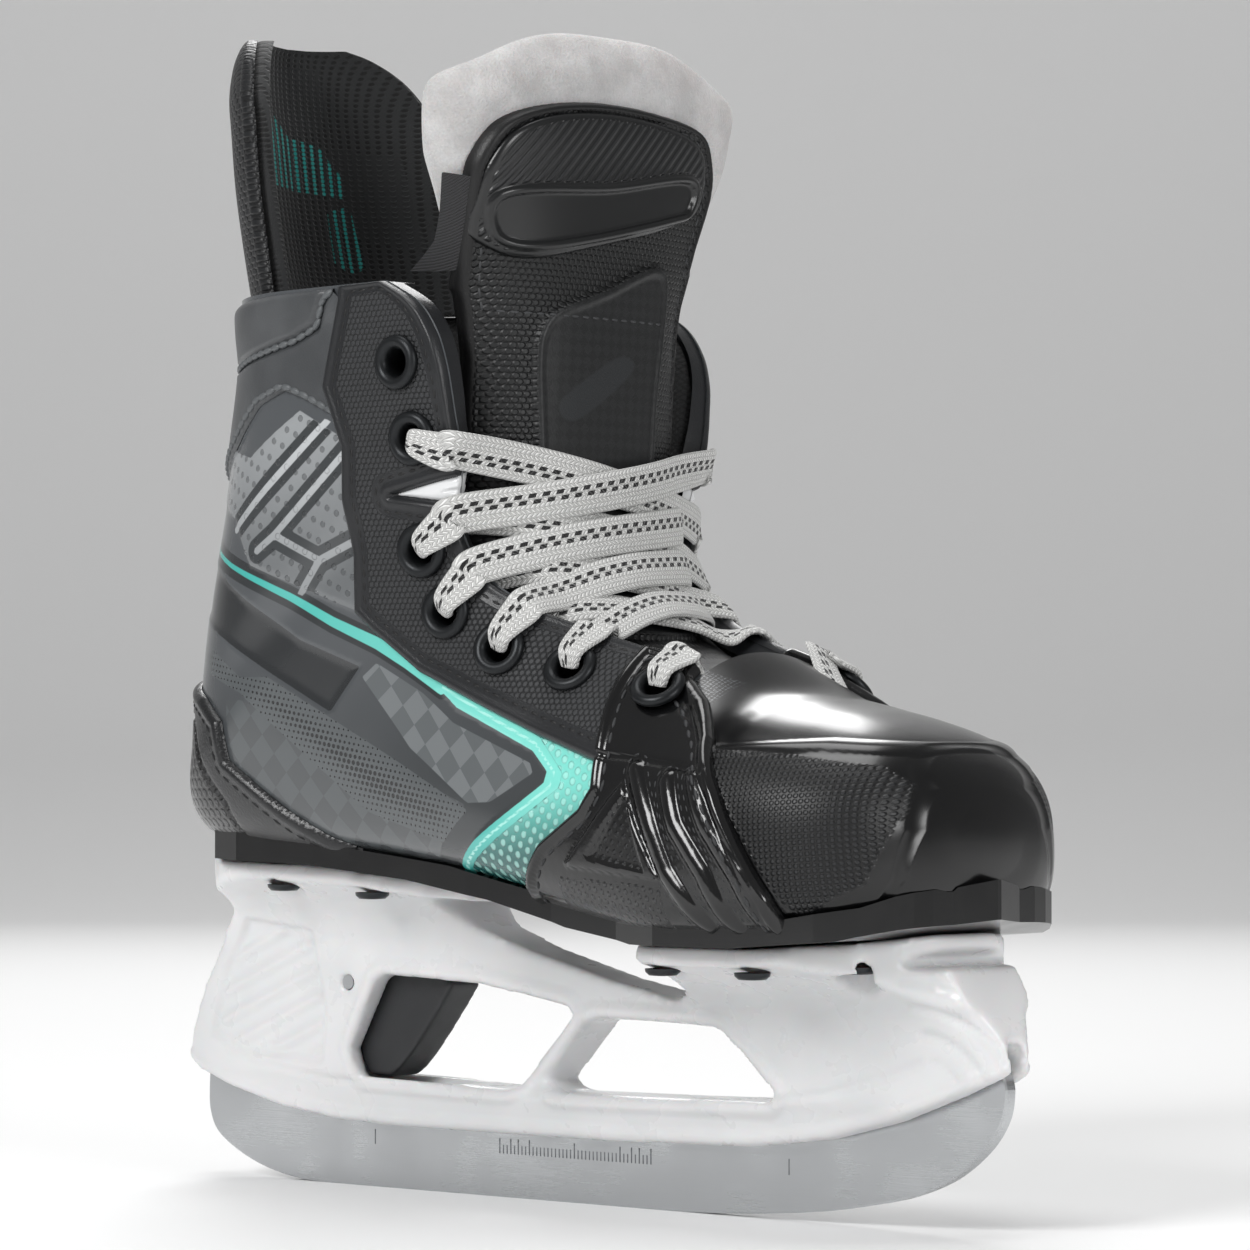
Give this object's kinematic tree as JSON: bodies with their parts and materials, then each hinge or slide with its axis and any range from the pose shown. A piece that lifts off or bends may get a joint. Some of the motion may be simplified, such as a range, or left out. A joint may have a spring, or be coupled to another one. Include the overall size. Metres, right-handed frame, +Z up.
{
  "type": "ice hockey skate",
  "caption": "Youth ice hockey skate: laced moulded boot with felt tongue, tendon guard and glossy toe cap, on a white two-tower blade holder with a steel runner.",
  "frame": {"origin": "on the ice, at the middle of the runner's flat edge, halfway across the blade", "axes": "+X towards the toe, +Y to the wearer's left, +Z up"},
  "size_m": [0.2142, 0.089, 0.2337],
  "materials": {
    "quarter": "printed glossy composite",
    "toe_cap": "gloss black moulding",
    "lining": "brushed knit",
    "footbed": "foam with a cloth top",
    "outsole": "gloss black composite",
    "overlay": "embossed overlay",
    "collar": "smooth synthetic leather",
    "facing": "dimpled synthetic leather",
    "strap": "gloss moulded polyurethane",
    "notch": "gloss white",
    "eyelet": "satin black",
    "holder": "satin white nylon",
    "runner": "polished, fine ground",
    "rivet": "black",
    "trigger_pin": "plain",
    "trigger": "satin grey nylon",
    "tongue_cover": "embossed synthetic leather",
    "felt": "thick white felt",
    "badge": "embossed rubbery panel",
    "label": "woven tab",
    "guard": "satin black with piped edge",
    "laces": "woven flat lace"
  },
  "bodies": {
    "boot": {"shell": "quarter", "toe_cap": "toe_cap", "liner": "lining", "footbed": "footbed", "outsole": "outsole", "heel_counter": "overlay", "collar_panel": "collar", "facing_right": "facing", "strap_right": "strap", "notch_insert_right": "notch", "facing_left": "facing", "strap_left": "strap", "notch_insert_left": "notch", "eyelet_right_1": "eyelet", "eyelet_right_2": "eyelet", "eyelet_right_3": "eyelet", "eyelet_right_4": "eyelet", "eyelet_right_5": "eyelet", "eyelet_right_6": "eyelet", "eyelet_right_7": "eyelet", "eyelet_left_1": "eyelet", "eyelet_left_2": "eyelet", "eyelet_left_3": "eyelet", "eyelet_left_4": "eyelet", "eyelet_left_5": "eyelet", "eyelet_left_6": "eyelet", "eyelet_left_7": "eyelet", "holder": "holder", "runner": "runner", "rivet_right_rear_1": "rivet", "rivet_right_rear_2": "rivet", "rivet_right_front_1": "rivet", "rivet_right_front_2": "rivet", "rivet_right_front_3": "rivet", "rivet_left_rear_1": "rivet", "rivet_left_rear_2": "rivet", "rivet_left_front_1": "rivet", "rivet_left_front_2": "rivet", "rivet_left_front_3": "rivet", "trigger_pin": "trigger_pin", "tongue_lower_cover": "tongue_cover", "tongue_lower_felt": "felt", "laces": "laces"},
    "trigger": {"trigger": "trigger"},
    "tongue_top": {"tongue_cover": "tongue_cover", "tongue_felt": "felt", "tongue_badge": "badge", "tongue_label": "label"},
    "tendon_guard": {"tendon_guard": "guard", "tendon_guard_pad": "lining"}
  },
  "joints": [
    {"name": "trigger_pull", "type": "hinge", "parent": "boot", "child": "trigger", "pos_m": [-0.056, 0, 0.0415], "axis": [0, 1, 0], "range_deg": [0, 12], "stiffness_Nm_per_rad": 0.25, "springref_deg": -5.73},
    {"name": "tongue_flex", "type": "hinge", "parent": "boot", "child": "tongue_top", "pos_m": [0.0105, 0, 0.169], "axis": [0, 1, 0], "range_deg": [-6, 30]},
    {"name": "tendon_guard_flex", "type": "hinge", "parent": "boot", "child": "tendon_guard", "pos_m": [-0.0788, 0, 0.1786], "axis": [0, 1, 0], "range_deg": [-12, 0], "stiffness_Nm_per_rad": 1.2, "springref_deg": 1.15}
  ]
}
